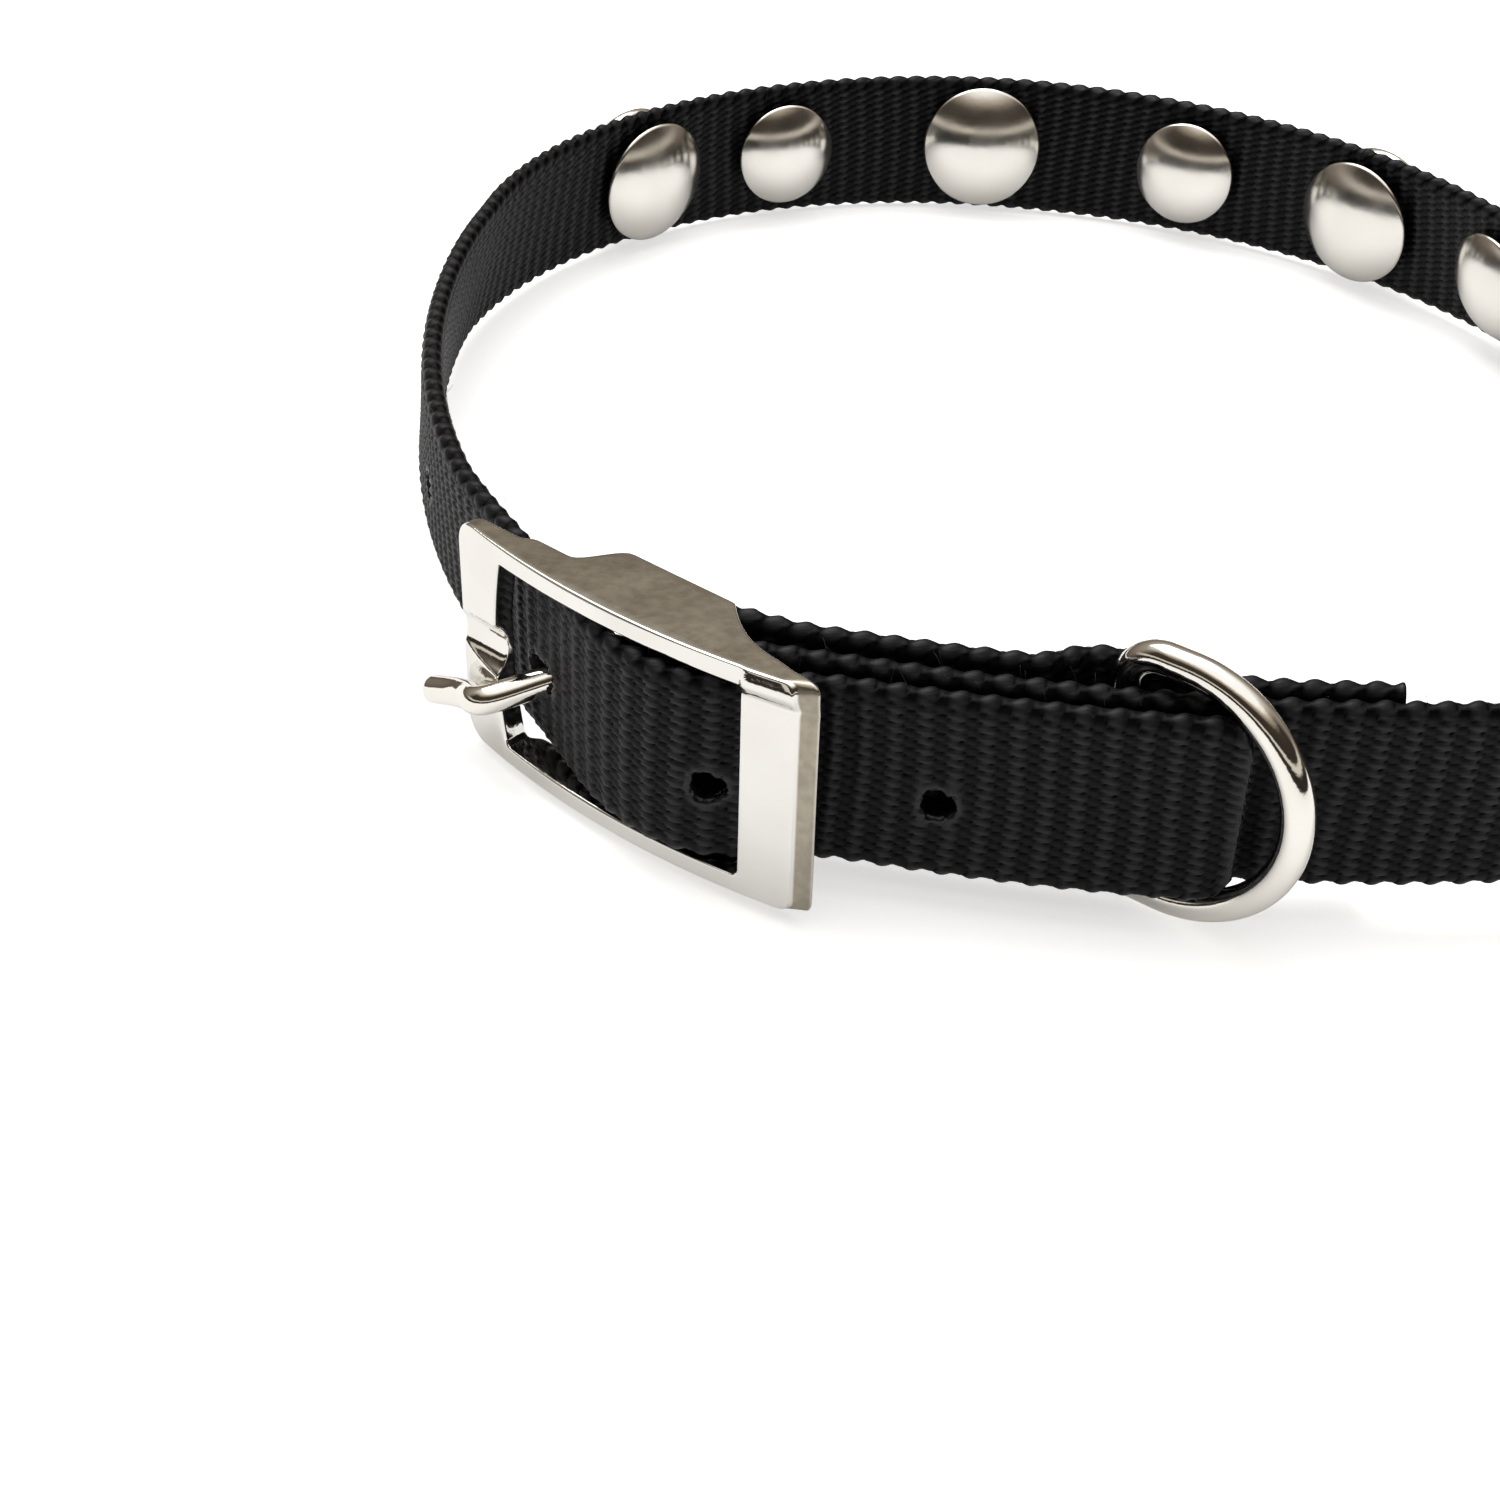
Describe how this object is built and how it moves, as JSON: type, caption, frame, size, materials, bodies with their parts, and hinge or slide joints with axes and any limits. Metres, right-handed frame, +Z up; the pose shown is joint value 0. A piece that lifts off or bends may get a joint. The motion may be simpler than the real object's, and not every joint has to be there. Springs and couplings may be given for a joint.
{
  "type": "dog collar",
  "caption": "Narrow black webbing dog collar, buckled into a loop, with a nickel centre-bar buckle and prong, a D-ring and domed metal rivets.",
  "frame": {"origin": "middle of the collar's own box, on the surface it stands on", "axes": "+Z up across the strap's width; +Y towards the back of the loop, away from the viewer; +X to the viewer's right, from the buckle towards the D-ring"},
  "size_m": [0.0974, 0.115, 0.0168],
  "materials": {
    "webbing": "coarse ribbed nylon weave",
    "nickel": "polished nickel plate",
    "rivet_metal": "polished nickel plate, warm"
  },
  "bodies": {
    "collar": {"strap": "webbing", "buckle_frame": "nickel", "prong": "nickel", "rivet_cap_1": "rivet_metal", "rivet_cap_2": "rivet_metal", "rivet_cap_3": "rivet_metal", "rivet_cap_4": "rivet_metal", "rivet_cap_5": "rivet_metal", "rivet_cap_6": "rivet_metal", "rivet_cap_7": "rivet_metal", "rivet_cap_8": "rivet_metal", "rivet_cap_9": "rivet_metal", "rivet_head_1": "rivet_metal", "rivet_head_2": "rivet_metal", "rivet_head_3": "rivet_metal", "rivet_head_4": "rivet_metal", "rivet_head_5": "rivet_metal", "rivet_head_6": "rivet_metal", "rivet_head_7": "rivet_metal", "rivet_head_8": "rivet_metal", "rivet_head_9": "rivet_metal"},
    "leash_ring": {"d_ring": "nickel"}
  },
  "joints": [
    {"name": "ring_swing", "type": "hinge", "parent": "collar", "child": "leash_ring", "pos_m": [-0.00235, -0.04969, 0.00837], "axis": [0, 0.0215, 0.9998], "range_deg": [-75, 5]}
  ]
}
